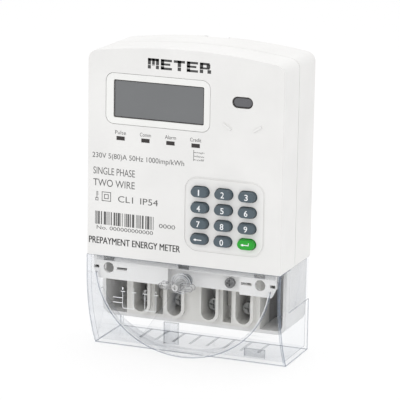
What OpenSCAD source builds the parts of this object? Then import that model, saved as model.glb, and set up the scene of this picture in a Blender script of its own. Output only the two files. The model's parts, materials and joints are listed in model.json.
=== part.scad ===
// Prepaid electricity meter with a keypad, wall mounted, and its clear terminal cover.
// X is to the right, +Y is towards the wall, +Z is up. The origin lies on the wall plane,
// midway between the two lower fixing holes.

/* [Case] */
// Width of the case
case_w = 120; // [118:1:150]
// Height of the case's face, from its lower edge to the top of its arch
face_h = 125.3; // [122:0.1:155]
// Depth from the wall to the face
case_d = 51.5; // [50:0.5:66]
// How much lower the shoulders are than the top of the arch
arch_drop = 5; // [3:0.5:9]
// Radius of the two upper corners
corner_r = 6; // [3:0.5:10]
// Wall of the front and base cases
wall = 2.2; // [1.8:0.1:2.8]
// Thickness of the base's floor
floor_t = 2.5; // [2.2:0.1:3.5]
// Depth of the front case, from the face to the seam
front_depth = 24.5; // [20:0.5:30]
// Thickness of the gasket in the seam
gasket_t = 0.6; // [0.4:0.1:1.2]

/* [Fixings] */
// Height of the face's lower edge above the lower fixing holes
face_above_fixings = 7.5; // [6.5:0.1:9]
// Distance of each lower fixing hole from the side of the case
fixing_inset = 12.9; // [12.3:0.1:13.5]
// Radius of the lower fixing holes
fixing_hole_r = 2.5; // [2:0.1:3]
// Radius of the driver holes in front of the lower fixings
driver_hole_r = 3.2; // [2.6:0.1:4]
// Radius of the hole in the hanger plate
hanger_hole_r = 2.75; // [2:0.05:3.5]
// Width of the hanger plate
hanger_w = 15.2; // [12:0.1:18]
// Thickness of the hanger plate
hanger_t = 2; // [1.5:0.1:2.5]
// Length of the hanger plate
hanger_l = 34; // [28:1:40]
// How far the hanger plate slides up
hanger_travel = 12; // [10:0.5:16]

/* [Display] */
// Width of the display's bezel
bezel_w = 64.5; // [58:0.5:68]
// Height of the display's bezel
bezel_h = 30; // [26:0.5:32]
// Corner radius of the bezel
bezel_r = 5; // [3:0.5:7]
// Distance of the bezel from the left side of the case
bezel_inset = 11.1; // [9:0.1:14]
// Height of the bezel's middle above the face's lower edge
bezel_z = 93.8; // [92:0.1:100]
// Width of the display's window
window_w = 55.6; // [48:0.1:57]
// Height of the display's window
window_h = 22; // [18:0.1:24]

/* [Optical port] */
// Distance of the port's middle from the right side of the case
port_inset = 25; // [20:0.5:28]
// Height of the port's middle above the face's lower edge
port_z = 98; // [94:0.5:104]
// Width of the port's lens
port_w = 12.5; // [10:0.5:14]
// Height of the port's lens
port_h = 6.6; // [5:0.1:8]
// Radius at which the probe's guide ribs sit
probe_r = 17.1; // [16.5:0.1:18]
// How far the guide ribs stand out
rib_h = 0.8; // [0.4:0.1:1.5]

/* [Indicators] */
// Width of an indicator's window
light_w = 5.2; // [4:0.1:6]
// Height of an indicator's window
light_h = 2.35; // [2:0.05:3]
// Spacing of the indicators
light_pitch = 15.48; // [10:0.01:17]
// Distance of the first indicator from the left side of the case
light_inset = 20.6; // [15:0.1:24]
// Height of the indicators above the face's lower edge
light_z = 70.7; // [68:0.1:74]

/* [Keypad] */
// Width of a key
key_w = 10.6; // [9:0.1:12]
// Height of a key
key_h = 6.1; // [5.5:0.1:7.4]
// Spacing of the keys across
key_pitch_x = 14.44; // [14.2:0.01:17]
// Spacing of the keys up and down
key_pitch_z = 9.24; // [9.1:0.01:10.5]
// How far the keys stand out of the face
key_proud = 3.2; // [1:0.1:4]
// How far a key goes in
key_travel = 1.2; // [0.6:0.1:1.4]
// Distance of the keypad's middle column from the right side of the case
keypad_inset = 34.6; // [33:0.1:38]
// Height of the keypad's middle above the face's lower edge
keypad_z = 31.05; // [30:0.05:36]
// Margin from the outer keys' middles to the keypad's ring
ring_margin = 10; // [9:0.5:11]

/* [Terminals] */
// Spacing of the four terminals
terminal_pitch = 21.5; // [20:0.1:23]
// Radius of the cable bore in each terminal
cable_bore_r = 4.25; // [3:0.05:4.5]
// Width of a terminal's brass block
brass_w = 11; // [10.5:0.1:12]
// Depth of a terminal's brass block
brass_d = 13; // [12:0.5:14]
// Width of the screw wells
well_w = 9; // [8.4:0.1:9.4]
// Width of the narrow auxiliary slots
aux_w = 5.3; // [4.5:0.1:6]
// Radius of a clamp screw's thread
clamp_r = 2.44; // [2:0.01:2.6]
// Radius of a clamp screw's head
clamp_head_r = 3.5; // [3:0.1:3.9]
// How far a clamp screw goes in
clamp_travel = 5.5; // [4.5:0.5:6.5]
// Distance of the terminal block's face behind the case's face
block_back = 17.5; // [16.5:0.1:19]
// How far the rims of the wells stand out of the block
rim_h = 2.8; // [1.5:0.1:3.5]

/* [Terminal cover] */
// Height of the clear cover
cover_h = 57; // [55:0.5:68]
// Wall of the clear cover
cover_wall = 1.8; // [1.4:0.1:2]
// Radius in which the cover's front curves back
cover_curve_r = 92; // [70:1:120]
// Radius of the seal screw's shank
seal_r = 2; // [1.6:0.1:2.4]
// Half span of the seal screw's wings
wing_span = 10.5; // [9:0.5:12]
// How far the seal screw's head stands out of the face
seal_proud = 11; // [8:0.5:14]

/* [Hidden] */
$fn = 48;
bore_gap = 0.06;
fit_gap = 0.2;
loose_gap = 0.3;

// Case
half_w = case_w / 2;
face_z = face_above_fixings;
crown_z = face_z + face_h;
face_y = -case_d;
seam_y = face_y + front_depth;
floor_y = -floor_t;
fixing_x = half_w - fixing_inset;
// The arch passes through the crown and the shoulders
arch_r = (half_w * half_w + arch_drop * arch_drop) / (2 * arch_drop);
arch_z = crown_z - arch_r;
board_margin = 8;

// Lower skirt, behind the clear cover
skirt_y = face_y + cover_wall + loose_gap;
skirt_half = half_w - 3.5;
skirt_drop = 14.2;
skirt_z = face_z - skirt_drop;
recess_d = 5;
recess_x = [-9.6, 34.6];
recess_z = face_z - 3.9;
recess_y = skirt_y + recess_d;
driver_slot = [6.5, 1.6];
driver_slot_x = 8.35;
end_slot = [3.2, 1.8];
end_slot_x = 7.7;

// Base tray around the terminals
tray_half = half_w - cover_wall - 0.4;
tray_z = face_z - 40.5;
tray_y = face_y + 18;
tray_r = 6;
boss_r = 4.6;
boss_y = -30;

// Terminal block
block_half = 1.5 * terminal_pitch + 9.6;
block_bottom = tray_z + wall;
block_top = face_z - 4.5;
block_y = face_y + block_back;
brass_y = floor_y - 2.5;
bore_y = brass_y - brass_d / 2;
brass_front = brass_y - brass_d;
brass_top = block_top - 2;
well_top = face_z - 9.5;
well_bottom = tray_z + 4.8;
clamp_z = [face_z - 16.5, face_z - 28.5];
clamp_head_h = 3;
clamp_tip = bore_y - cable_bore_r - 0.3;
clamp_head_y = brass_front - clamp_travel - 0.6;
rim_y = block_y - rim_h;
rim_t = 1.8;
pillar_y = recess_y + wall;
pillar_r = 4.4;
case_screw = [27.3, face_z - 9.1];
seal_z = face_z - 11;
insert_r = 3.2;
seal_boss_r = 3.6;
seal_ring_r = 5.8;
wing_y = face_y - seal_proud;
insert_l = 8;

// Display
bezel_x = -half_w + bezel_inset + bezel_w / 2;
bezel_mid = face_z + bezel_z;
window_dx = 0.5;
bezel_t = 1.2;
pane_t = wall - bezel_t;
pane_y = face_y + bezel_t;
pane_lap = 1.5;
lcd_t = 2.4;
lcd_y = face_y + wall + loose_gap;
board_y = face_y + 13.5;
board_t = 1.6;
board_z = [face_z + 7, crown_z - 10.8];
board_half = half_w - board_margin;
post_inset = 3.4;

// Optical port and indicators
port_x = half_w - port_inset;
port_mid = face_z + port_z;
rib_angle = 32.3;
light_x = [for (i = [0:3]) -half_w + light_inset + i * light_pitch];
light_mid = face_z + light_z;

// Keypad
key_names = ["1", "2", "3", "4", "5", "6", "7", "8", "9", "back", "0", "enter"];
keypad_x = half_w - keypad_inset;
keypad_mid = face_z + keypad_z;
// The keys sit a little low and to the left in their ring
key_shift = [-0.4, -0.6];
key_flange = 0.8;
flange_y = face_y + wall + 0.1;
flange_t = 0.8;
stem_r = 2.2;
stem_y = flange_y + flange_t + 2.4;
mat_t = 2;
ring_r = 8;
groove = 1;
groove_d = 0.5;

// Clear cover
cover_top = face_z - fit_gap;
cover_z = face_z - cover_h;
curve_z = face_z - 10;
bulge_a = half_w - 5.5;
bulge_b = cover_h - 6.5;
bulge_z = face_z - 5;
cover_back = -1;
rim_band = 2.6;
side_step_z = face_z - 26;
tab_x = [-46.8, 0, 46.8];
tab_w = 6;
tab_z = [face_z - 3, face_z - 0.8];
tab_y = skirt_y + 3.4;

// ---- Helpers ----

// Extrudes a front view outline, drawn in X and Z, from depth y0 back to depth y1
module slab(y0, y1) {
    translate([0, y1, 0]) rotate([90, 0, 0]) linear_extrude(y1 - y0) children();
}

// Extrudes a side view outline, drawn in Y and Z, from x0 to x1
module side_slab(x0, x1) {
    translate([x0, 0, 0]) rotate([90, 0, 90]) linear_extrude(x1 - x0) children();
}

// A round bar along Y
module bar_y(x, z, y0, y1, r) {
    translate([x, y1, z]) rotate([90, 0, 0]) cylinder(r = r, h = y1 - y0);
}

// A rectangle about its middle, with round corners
module round_rect(w, h, r) {
    square([w - 2 * r, h], center = true);
    square([w, h - 2 * r], center = true);
    for (x = [-1, 1], z = [-1, 1])
        translate([x * (w / 2 - r), z * (h / 2 - r)]) circle(r);
}

// A bar with two round ends, about its middle
module stadium(w, h) {
    square([w - h, h], center = true);
    for (x = [-1, 1]) translate([x * (w - h) / 2, 0]) circle(h / 2);
}

// Outline of the case's face, moved in by i
module face_outline(i = 0) {
    r = corner_r - i;
    big = arch_r - i;
    side = half_w - i;
    // The corner's circle touches the side and the arch from inside
    cx = side - r;
    cz = arch_z + sqrt((big - r) * (big - r) - cx * cx);
    tx = cx * big / (big - r);
    tz = arch_z + (cz - arch_z) * big / (big - r);
    translate([-side, face_z + i]) square([2 * side, cz - face_z - i]);
    for (s = [-1, 1]) translate([s * cx, cz]) circle(r);
    intersection() {
        translate([0, arch_z]) circle(big, $fn = 360);
        polygon([[-cx, cz - 1], [-cx, cz], [-tx, tz], [-tx, tz + 20],
                 [tx, tz + 20], [tx, tz], [cx, cz], [cx, cz - 1]]);
    }
}

// Outline of the tray around the terminals, moved in by i
module tray_outline(i = 0) {
    half = tray_half - i;
    low = tray_z + i;
    r = tray_r - i;
    translate([-half, low + r]) square([2 * half, face_z + 1 - low - r]);
    translate([-half + r, low]) square([2 * (half - r), r + 1]);
    for (s = [-1, 1]) translate([s * (half - r), low + r]) circle(r);
}

// ---- Case ----

module base_case() {
    color("whitesmoke") difference() {
        union() {
            difference() {
                slab(seam_y + gasket_t / 2, 0) face_outline();
                slab(seam_y - 1, floor_y) face_outline(wall);
            }
            difference() {
                slab(tray_y, 0) tray_outline();
                slab(tray_y - 1, floor_y) tray_outline(wall);
                slab(tray_y - 1, seam_y + gasket_t / 2)
                    translate([-case_w, face_z - fit_gap]) square([2 * case_w, 20]);
            }
            // Housing of the hanger plate
            slab(-hanger_t - 3, -1) intersection() {
                face_outline(1);
                translate([-hanger_w / 2 - 2.4, crown_z - hanger_l - 5])
                    square([hanger_w + 4.8, hanger_l + 10]);
            }
            // Bosses of the lower fixings
            for (s = [-1, 1]) bar_y(s * fixing_x, 0, boss_y, -1, boss_r);
            board_posts(3.2, board_y + board_t, -1);
        }
        for (s = [-1, 1]) bar_y(s * fixing_x, 0, boss_y - 1, 1, fixing_hole_r);
        board_posts(1.25, board_y, -board_margin);
        // Channel of the hanger plate, with a lip on each side of its slot
        translate([-hanger_w / 2 - fit_gap, -hanger_t - 0.9, crown_z - hanger_l - 2])
            cube([hanger_w + 2 * fit_gap, hanger_t + 0.2, hanger_l + 10]);
        translate([-hanger_w / 2 + 1.2, -1.5, crown_z - hanger_l - 2])
            cube([hanger_w - 2.4, 3, hanger_l + 10]);
        // Opening for the cables through the tray's lower wall
        translate([-1.5 * terminal_pitch - brass_w / 2, brass_front, tray_z - 1])
            cube([3 * terminal_pitch + brass_w, brass_d, wall + 1]);
        // Slots for the busbars through the wall above the terminals
        for (t = [0:3])
            translate([terminal_x(t) - 4.5, bore_y - 2, face_z - 1]) cube([9, 4, wall + 2]);
    }
}

module board_posts(r, y0, y1) {
    for (x = [-1, 1], z = [board_z[0] + post_inset, board_z[1] - post_inset])
        bar_y(x * (board_half - post_inset), z, y0, y1, r);
}

module front_case() {
    color("whitesmoke") difference() {
        union() {
            difference() {
                slab(face_y, seam_y - gasket_t / 2) face_outline();
                slab(face_y + wall, seam_y) face_outline(wall);
            }
            guide_ribs();
        }
        // Display: the bezel's pocket and the pane's opening behind it
        translate([bezel_x, 0, bezel_mid]) slab(face_y - 1, pane_y) round_rect(bezel_w, bezel_h, bezel_r);
        translate([bezel_x, 0, bezel_mid]) slab(pane_y - 1, lcd_y)
            translate([window_dx, 0])
                square([window_w + 2 * pane_lap + fit_gap, window_h + 2 * pane_lap + fit_gap], center = true);
        // Optical port and indicators
        translate([port_x, 0, port_mid]) slab(face_y - 1, face_y + wall + 1)
            stadium(port_w, port_h);
        for (x = light_x)
            translate([x, 0, light_mid]) slab(face_y - 1, face_y + wall + 1)
                square([light_w, light_h], center = true);
        // Keys and the ring around them
        for (k = [0:11])
            translate([key_x(k), 0, key_z(k)]) slab(face_y - 1, face_y + wall + 1)
                stadium(key_w + 2 * loose_gap, key_h + 2 * loose_gap);
        translate([keypad_x, 0, keypad_mid]) slab(face_y - 1, face_y + groove_d) difference() {
            round_rect(2 * key_pitch_x + 2 * ring_margin, 3 * key_pitch_z + 1.6 * ring_margin, ring_r);
            round_rect(2 * key_pitch_x + 2 * ring_margin - 2 * groove,
                       3 * key_pitch_z + 1.6 * ring_margin - 2 * groove, ring_r - groove);
        }
    }
}

// The lower skirt, with the driver holes, the slots of the cover's tabs and the screw recess
module case_skirt() {
    color("whitesmoke") difference() {
        union() {
            slab(skirt_y, skirt_y + wall) skirt_outline();
            slab(skirt_y, recess_y + wall) recess_outline(wall);
        }
        slab(skirt_y - 1, recess_y) recess_outline(0);
        for (s = [-1, 1]) {
            bar_y(s * fixing_x, 0, skirt_y - 1, skirt_y + wall + 1, driver_hole_r);
            translate([s * (fixing_x - driver_slot_x), skirt_y, 0])
                cube([driver_slot[0], 2 * wall + 2, driver_slot[1]], center = true);
            translate([s * (fixing_x + end_slot_x), skirt_y, 0])
                cube([end_slot[0], 2 * wall + 2, end_slot[1]], center = true);
        }
        for (x = tab_x)
            translate([x - tab_w / 2 - fit_gap, skirt_y - 1, tab_z[0] - fit_gap])
                cube([tab_w + 2 * fit_gap, tab_y - skirt_y + 1.5, tab_z[1] - tab_z[0] + 2 * fit_gap]);
        bar_y(case_screw[0], case_screw[1], recess_y - 1, recess_y + wall + 1, 1.7);
        bar_y(0, seal_z, recess_y - 1, recess_y + wall + 1, seal_r + 0.7);
    }
}

module skirt_outline() {
    polygon([[-skirt_half, face_z], [-skirt_half, skirt_z + 5], [-skirt_half + 2.4, skirt_z],
             [skirt_half - 2.4, skirt_z], [skirt_half, skirt_z + 5], [skirt_half, face_z]]);
}

module recess_outline(i) {
    translate([recess_x[0] - i, skirt_z]) square([recess_x[1] - recess_x[0] + 2 * i, recess_z - skirt_z + i]);
}

module guide_ribs() {
    for (s = [-1, 1])
        translate([port_x, 0, port_mid]) rotate([0, s * rib_angle, 0])
            translate([-3, face_y - rib_h, -probe_r - 0.6]) cube([6, rib_h + 0.5, 1.2]);
}

module case_gasket() {
    color("dimgray") slab(seam_y - gasket_t / 2, seam_y + gasket_t / 2) difference() {
        face_outline(0.5);
        face_outline(wall);
    }
}

module case_screw() {
    color("dimgray") difference() {
        union() {
            bar_y(case_screw[0], case_screw[1], recess_y - 2, recess_y, 3);
            bar_y(case_screw[0], case_screw[1], recess_y - 0.5, pillar_y + 6, 1.5);
        }
        for (a = [0, 90])
            translate([case_screw[0], recess_y - 2, case_screw[1]]) rotate([0, a, 0])
                cube([3.6, 2, 0.9], center = true);
    }
}

module hanger_plate() {
    color("silver") difference() {
        translate([-hanger_w / 2, -hanger_t - 0.8, crown_z - hanger_l - 1])
            cube([hanger_w, hanger_t, hanger_l]);
        bar_y(0, hanger_hole_z(), -hanger_t - 2, 0, hanger_hole_r);
    }
}

function hanger_hole_z() = crown_z - 1 - 3 - hanger_hole_r;

// ---- Display, optical port and indicators ----

module display_bezel() {
    color("white") translate([bezel_x, 0, bezel_mid]) slab(face_y, pane_y) difference() {
        round_rect(bezel_w - 2 * fit_gap, bezel_h - 2 * fit_gap, bezel_r - fit_gap);
        translate([window_dx, 0]) square([window_w, window_h], center = true);
    }
}

module display_window() {
    color("dimgray") translate([bezel_x + window_dx, 0, bezel_mid]) {
        slab(face_y + 0.3, pane_y) square([window_w - fit_gap, window_h - fit_gap], center = true);
        slab(pane_y, pane_y + pane_t)
            square([window_w + 2 * pane_lap, window_h + 2 * pane_lap], center = true);
    }
}

module optical_port_lens() {
    color("dimgray") translate([port_x, 0, port_mid]) {
        slab(face_y - 0.1, face_y + wall) stadium(port_w - fit_gap, port_h - fit_gap);
        slab(face_y + wall, face_y + wall + 2) stadium(port_w + 2, port_h + 2);
    }
}

module light_pipes() {
    color("black") for (x = light_x) translate([x, 0, light_mid])
        slab(face_y + 0.2, board_y - 2.5) square([light_w - fit_gap, light_h - fit_gap], center = true);
}

// ---- Keys ----

function key_x(k) = keypad_x + key_shift[0] + (k % 3 - 1) * key_pitch_x;
function key_z(k) = keypad_mid + key_shift[1] + (1.5 - floor(k / 3)) * key_pitch_z;

module key(k) {
    color(k == 11 ? "green" : "slategray") translate([key_x(k), 0, key_z(k)]) {
        slab(face_y - key_proud, flange_y + flange_t) stadium(key_w, key_h);
        slab(flange_y, flange_y + flange_t) stadium(key_w + 2 * key_flange, key_h + 2 * key_flange);
        slab(flange_y, stem_y) circle(stem_r);
    }
}

module key_mat() {
    color("lightgray") {
        translate([keypad_x, 0, keypad_mid]) slab(board_y - mat_t, board_y)
            round_rect(2 * key_pitch_x + 2 * ring_margin - 4, 3 * key_pitch_z + 1.6 * ring_margin - 4, ring_r - 2);
        for (k = [0:11])
            bar_y(key_x(k), key_z(k), stem_y + key_travel + 0.2, board_y - mat_t, 3);
    }
}

// ---- Terminals ----

function terminal_x(t) = (t - 1.5) * terminal_pitch;

module well_outline(i = 0) {
    r = well_w / 2 + i;
    translate([0, well_bottom + well_w / 2]) circle(r);
    translate([-r, well_bottom + well_w / 2])
        square([2 * r, well_top + i - well_bottom - well_w / 2]);
}

// The housing of the four brass terminals, open below for the cables
module terminal_block() {
    color("gainsboro") difference() {
        slab(brass_front, floor_y) block_outline();
        for (t = [0:3]) {
            brass_space(t);
            translate([terminal_x(t) - 4.5, bore_y - 2, brass_top - 1]) cube([9, 4, 5]);
        }
    }
}

// The front of the block, with the screw wells, the auxiliary slots and the two pillars
module terminal_shroud() {
    color("gainsboro") difference() {
        union() {
            slab(block_y, brass_front) block_outline();
            for (t = [0:3]) translate([terminal_x(t), 0, 0]) slab(rim_y, block_y + 1) well_outline(rim_t);
            bar_y(0, seal_z, pillar_y, block_y + 1, pillar_r);
            bar_y(case_screw[0], case_screw[1], pillar_y, block_y + 1, pillar_r);
        }
        for (t = [0:3])
            translate([terminal_x(t), 0, 0]) slab(rim_y - 1, brass_front + 1) well_outline();
        for (s = [-1, 1])
            translate([s * terminal_pitch - aux_w / 2, block_y - 1, tray_z + 3.9])
                cube([aux_w, 12, block_top - tray_z - 10]);
        bar_y(0, seal_z, pillar_y - 1, pillar_y + insert_l, insert_r);
        bar_y(case_screw[0], case_screw[1], pillar_y - 1, pillar_y + 7, 1.5);
    }
}

module block_outline() {
    translate([-block_half, block_bottom]) square([2 * block_half, block_top - block_bottom]);
}

module brass_space(t) {
    translate([terminal_x(t) - brass_w / 2, brass_front, block_bottom])
        cube([brass_w, brass_d, brass_top - block_bottom]);
}

module terminal(t) {
    color("goldenrod") difference() {
        brass_space(t);
        translate([terminal_x(t), bore_y, block_bottom - 1])
            cylinder(r = cable_bore_r, h = brass_top - block_bottom - 3);
        for (z = clamp_z)
            bar_y(terminal_x(t), z, brass_front - 1, bore_y, clamp_r + bore_gap);
    }
}

module clamp_screw(t, j) {
    color("silver") difference() {
        union() {
            bar_y(terminal_x(t), clamp_z[j], clamp_head_y - clamp_head_h, clamp_head_y, clamp_head_r);
            bar_y(terminal_x(t), clamp_z[j], clamp_head_y - 1, clamp_tip, clamp_r);
        }
        for (a = [0, 90])
            translate([terminal_x(t), clamp_head_y - clamp_head_h, clamp_z[j]]) rotate([0, a, 0])
                cube([5, 2.4, 1.1], center = true);
    }
}

module aux_terminals() {
    color("goldenrod") for (s = [-1, 1]) {
        translate([s * terminal_pitch - 2, block_y + 6, block_top - 24]) cube([4, 5, 16]);
        bar_y(s * terminal_pitch, block_top - 12, block_y + 3.5, block_y + 6, 1.9);
    }
}

module screw_insert() {
    color("goldenrod") slab(pillar_y, pillar_y + insert_l) translate([0, seal_z]) difference() {
        circle(insert_r);
        circle(seal_r + bore_gap);
    }
}

// ---- Clear cover ----

// Side view of the cover, moved in by i
module cover_side(i, back) {
    r = cover_curve_r - i;
    front = face_y + i;
    translate([front, curve_z]) square([back - front, cover_top + (i > 0 ? 5 : 0) - curve_z]);
    intersection() {
        translate([front, cover_z + i]) square([back - front, curve_z - cover_z - i + 1]);
        translate([face_y + cover_curve_r, curve_z]) circle(r, $fn = 360);
    }
}

// Half ellipse of the flat panel on the cover's front, moved in by i
module bulge_outline(i) {
    a = bulge_a - i;
    b = bulge_b - i;
    top = cover_top + (i > 0 ? 5 : 0);
    polygon(concat([for (s = [0:48]) [a * cos(180 + s * 3.75), bulge_z + b * sin(180 + s * 3.75)]],
                   [[a, top], [-a, top]]));
}

module cover_solid(i, back) {
    side_slab(-half_w + i, half_w - i) cover_side(i, back);
    slab(face_y + i, face_y + 16) bulge_outline(i);
}

module terminal_cover() {
    color("lightsteelblue", 0.4) difference() {
        union() {
            difference() {
                cover_solid(0, cover_back);
                cover_solid(cover_wall, 5);
            }
            // Boss and ring of the seal screw
            bar_y(0, seal_z, face_y - 1.6, recess_y - 0.3, seal_boss_r);
            slab(face_y - 1.6, face_y + 0.5) translate([0, seal_z]) difference() {
                circle(seal_ring_r);
                circle(seal_ring_r - 1.2);
            }
            for (x = tab_x)
                translate([x - tab_w / 2, face_y + cover_wall - 0.5, tab_z[0]])
                    cube([tab_w, tab_y - face_y - cover_wall + 0.5, tab_z[1] - tab_z[0]]);
            // Two upright flaps on the lower wall, at the front and by the left cables
            translate([-19.2, face_y + 20, cover_z + 0.5]) cube([9.1, 1.2, 14.5]);
            translate([33, face_y + 16.5, cover_z + 0.5]) cube([12.5, 1.2, 6]);
        }
        // Shallow relief on each side, above the step and behind the front
        for (s = [-1, 1])
            translate([s * half_w - 0.4, face_y + 17, side_step_z]) cube([0.8, case_d, case_d]);
        bar_y(0, seal_z, face_y - 3, recess_y + 1, seal_r + bore_gap);
        // Break-out grooves inside the lower wall
        for (g = [0:7])
            translate([(g - 3.5) * terminal_pitch / 2, -24.5, cover_z + cover_wall - 0.4])
                translate([-0.5, 0, 0]) cube([1, 20, 2]);
    }
}

module seal_screw() {
    color("silver") bar_y(0, seal_z, wing_y - 0.3, pillar_y + insert_l - 1, seal_r);
}

// The clear barrel and wings of the seal screw, with a hole for the seal's wire
module seal_wings() {
    color("lightsteelblue", 0.4) difference() {
        union() {
            bar_y(0, seal_z, wing_y, face_y - 1.8, seal_r + 1.2);
            translate([0, 0, seal_z]) slab(wing_y + 0.8, wing_y + 5.3) stadium(2 * wing_span, 3.4);
        }
        bar_y(0, seal_z, wing_y - 1, face_y, seal_r);
        translate([-5.8, wing_y + 3, seal_z - 5]) cylinder(r = 0.9, h = 10);
    }
}

// ---- Inside ----

module main_board() {
    color("darkgreen") difference() {
        translate([-board_half, board_y, board_z[0]])
            cube([2 * board_half, board_t, board_z[1] - board_z[0]]);
        board_posts(1.5, board_y - 1, board_y + board_t + 1);
    }
}

module board_screws() {
    color("silver") {
        board_posts(2.6, board_y - 1.6, board_y);
        board_posts(1.2, board_y - 1, board_y + 9);
    }
}

module lcd_glass() {
    color("dimgray") translate([bezel_x + window_dx, 0, bezel_mid])
        slab(lcd_y, lcd_y + lcd_t) square([window_w + 2, window_h + 2.4], center = true);
}

module lcd_frame() {
    color("white") translate([bezel_x + window_dx, 0, bezel_mid])
        slab(lcd_y + lcd_t, board_y) square([window_w + 6, window_h + 3.6], center = true);
}

module board_leds() {
    color("red") for (x = light_x) bar_y(x, light_mid, board_y - 2.2, board_y, 1.5);
}

module ir_pair() {
    color("darkslateblue") for (s = [-1, 1])
        bar_y(port_x + s * 2.8, port_mid, face_y + wall + 2.5, board_y, 2.4);
}

module buzzer() {
    color("black") bar_y(port_x, light_mid + 2, board_y - 7, board_y, 6);
}

module battery() {
    color("seagreen") translate([-38, board_y + board_t + 7.25, bezel_mid - 10])
        rotate([0, 90, 0]) cylinder(r = 7.25, h = 25);
}

module supercapacitor() {
    color("navy") translate([6, board_y + board_t + 6.5, bezel_mid - 10])
        rotate([0, 90, 0]) cylinder(r = 6.5, h = 22);
}

module relay() {
    color("darkslategray") translate([terminal_x(0) - 7, -20.5, face_z + 14]) cube([40, 20.5 - floor_t, 30]);
}

module film_capacitor() {
    color("gold") translate([14, board_y + board_t, face_z + 46]) cube([26, 15, 19]);
}

module varistor() {
    color("dodgerblue") translate([-2, board_y + board_t + 7, face_z + 54])
        rotate([0, 90, 0]) cylinder(r = 7, h = 5);
}

module metering_chips() {
    color("black") {
        translate([-38, board_y + board_t, face_z + 52]) cube([10, 1.6, 10]);
        translate([-20, board_y + board_t, face_z + 52]) cube([7, 1.6, 7]);
    }
}

// A flat bar that rises from a terminal
module riser(t, top) {
    translate([terminal_x(t) - 4, bore_y - 1, brass_top]) cube([8, 2, top - brass_top]);
}

module line_in_busbar() {
    color("orange") riser(0, face_z + 14);
}

module line_out_busbar() {
    color("orange") riser(1, face_z + 14);
}

module neutral_busbar() {
    color("orange") {
        riser(2, face_z + 12);
        riser(3, face_z + 12);
        translate([terminal_x(2) - 4, bore_y - 1, face_z + 6]) cube([terminal_pitch + 8, 2, 6]);
    }
}

// ---- The nodes ----

base_case();
front_case();
case_skirt();
case_gasket();
case_screw();
hanger_plate();
display_bezel();
display_window();
optical_port_lens();
light_pipes();
terminal_block();
terminal_shroud();
screw_insert();
aux_terminals();
for (t = [0:3]) {
    terminal(t);
    clamp_screw(t, 0);
    clamp_screw(t, 1);
}
terminal_cover();
seal_screw();
seal_wings();
main_board();
board_screws();
lcd_glass();
lcd_frame();
board_leds();
ir_pair();
buzzer();
battery();
supercapacitor();
relay();
film_capacitor();
varistor();
metering_chips();
line_in_busbar();
line_out_busbar();
neutral_busbar();
key_mat();
for (k = [0:11])
    key(k);
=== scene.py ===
"""Prepaid electricity meter: its looks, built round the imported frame.

Metres, X to the right, Y towards the wall, Z up, and the origin between the lower fixings.
"""
import json
import math

import bmesh
import bpy
from mathutils import Matrix, Vector

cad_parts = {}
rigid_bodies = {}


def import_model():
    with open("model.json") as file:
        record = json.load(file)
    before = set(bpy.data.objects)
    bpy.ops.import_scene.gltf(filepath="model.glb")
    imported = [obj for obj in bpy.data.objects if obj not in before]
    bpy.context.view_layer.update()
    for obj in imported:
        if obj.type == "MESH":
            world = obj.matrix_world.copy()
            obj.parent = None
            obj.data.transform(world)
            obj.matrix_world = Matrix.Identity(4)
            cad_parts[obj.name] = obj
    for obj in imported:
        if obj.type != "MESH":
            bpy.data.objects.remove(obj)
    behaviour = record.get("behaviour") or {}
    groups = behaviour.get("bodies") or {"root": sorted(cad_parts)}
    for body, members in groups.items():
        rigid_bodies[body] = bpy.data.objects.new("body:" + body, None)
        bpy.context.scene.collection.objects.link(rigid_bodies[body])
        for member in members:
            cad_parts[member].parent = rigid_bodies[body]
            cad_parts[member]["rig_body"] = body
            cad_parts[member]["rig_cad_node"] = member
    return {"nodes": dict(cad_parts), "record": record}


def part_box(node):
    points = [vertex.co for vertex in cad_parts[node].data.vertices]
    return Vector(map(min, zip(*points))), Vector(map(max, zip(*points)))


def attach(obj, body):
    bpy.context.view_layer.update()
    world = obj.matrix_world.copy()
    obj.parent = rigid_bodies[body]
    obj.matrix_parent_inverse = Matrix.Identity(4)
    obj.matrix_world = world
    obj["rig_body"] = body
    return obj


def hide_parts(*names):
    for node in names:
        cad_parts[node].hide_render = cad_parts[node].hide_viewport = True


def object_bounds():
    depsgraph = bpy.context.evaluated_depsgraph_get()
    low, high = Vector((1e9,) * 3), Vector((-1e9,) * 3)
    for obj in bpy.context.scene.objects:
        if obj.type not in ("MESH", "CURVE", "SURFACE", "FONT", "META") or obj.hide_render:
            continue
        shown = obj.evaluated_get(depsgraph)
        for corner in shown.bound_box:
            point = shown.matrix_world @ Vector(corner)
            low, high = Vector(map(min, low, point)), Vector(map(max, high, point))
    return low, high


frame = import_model()
cad_low, cad_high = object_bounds()

MM = 0.001

# ---- Places taken from the frame ----

BASE_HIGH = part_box("base_case")[1]
COVER_LOW, COVER_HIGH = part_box("terminal_cover")
BEZEL_LOW, BEZEL_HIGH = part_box("display_bezel")
WINDOW_LOW, WINDOW_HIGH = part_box("display_window")
PORT_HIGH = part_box("optical_port_lens")[1]
LIGHTS_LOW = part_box("light_pipes")[0]
SKIRT_LOW, SKIRT_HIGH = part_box("case_skirt")
WINGS_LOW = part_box("seal_wings")[0]

FACE_Y = BEZEL_LOW.y
HALF_W = BASE_HIGH.x
CROWN_Z = BASE_HIGH.z
FACE_Z = SKIRT_HIGH.z
KEY_NAMES = ["1", "2", "3", "4", "5", "6", "7", "8", "9", "back", "0", "enter"]

# ---- Sizes that repeat, or that the frame's boxes don't give ----

PANE_W, PANE_H = 55.6 * MM, 22 * MM
PORT_W, PORT_H = 12.2 * MM, 6.3 * MM
END_SLOT_X = 54.8 * MM
# From one indicator to the next, in millimetres, like the places of the print
LIGHT_STEP = 15.48
# How far print stands out of its surface, and reaches into it
INK = 0.03 * MM
SINK = 0.02 * MM
SMOOTH_ANGLE = math.radians(40)
# Facets that meet at less than this are merged
MERGE_ANGLE = math.radians(0.4)
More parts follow.
